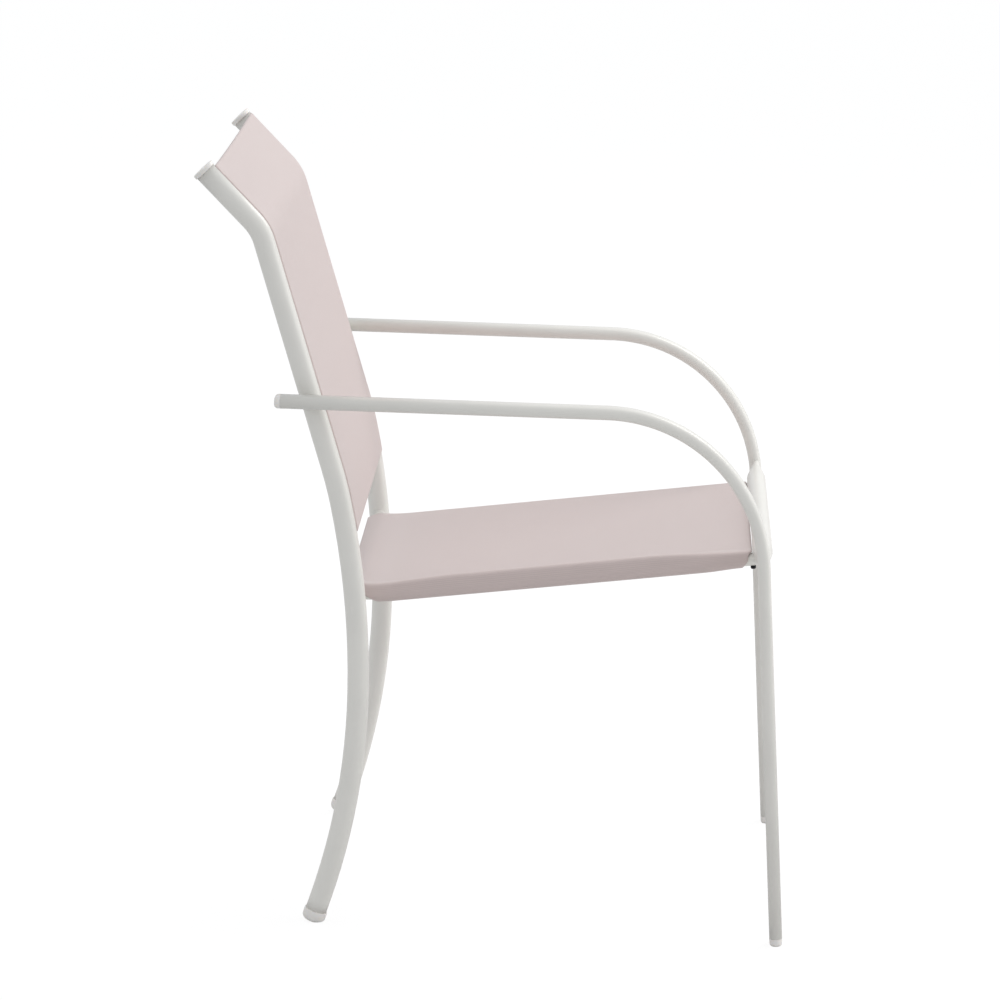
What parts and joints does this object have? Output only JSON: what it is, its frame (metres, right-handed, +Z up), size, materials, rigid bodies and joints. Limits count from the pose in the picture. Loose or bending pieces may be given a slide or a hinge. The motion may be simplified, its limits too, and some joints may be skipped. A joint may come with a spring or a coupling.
{
  "type": "sling patio chair",
  "caption": "Outdoor armchair: a bent tube frame with round uprights and flat-oval arms, and a stretched mesh seat and back.",
  "frame": {"origin": "centre of the footprint, on the floor", "axes": "+X towards the sitter's left hand, the sitter faces -Y, +Z up"},
  "size_m": [0.5486, 0.706, 0.8959],
  "materials": {
    "painted_steel": "glossy warm white powder coat",
    "mesh_cloth": "woven coated mesh, pale pinkish beige",
    "end_plastic": "pale grey-beige moulded plastic, slightly translucent",
    "spline_plastic": "black extruded plastic",
    "black_screw": "black oxide"
  },
  "bodies": {
    "root": {"right_back_upright": "painted_steel", "left_back_upright": "painted_steel", "right_arm_and_front_leg": "painted_steel", "left_arm_and_front_leg": "painted_steel", "front_stretcher": "painted_steel", "rear_crossbar": "painted_steel", "right_seat_rail": "painted_steel", "left_seat_rail": "painted_steel", "right_rail_screw": "black_screw", "left_rail_screw": "black_screw", "seat_sling": "mesh_cloth", "back_sling": "mesh_cloth", "right_spline_rod": "spline_plastic", "left_spline_rod": "spline_plastic", "right_top_cap": "end_plastic", "left_top_cap": "end_plastic", "right_arm_plug": "end_plastic", "left_arm_plug": "end_plastic", "right_rear_glide": "end_plastic", "left_rear_glide": "end_plastic", "right_front_glide": "end_plastic", "left_front_glide": "end_plastic"}
  },
  "joints": []
}
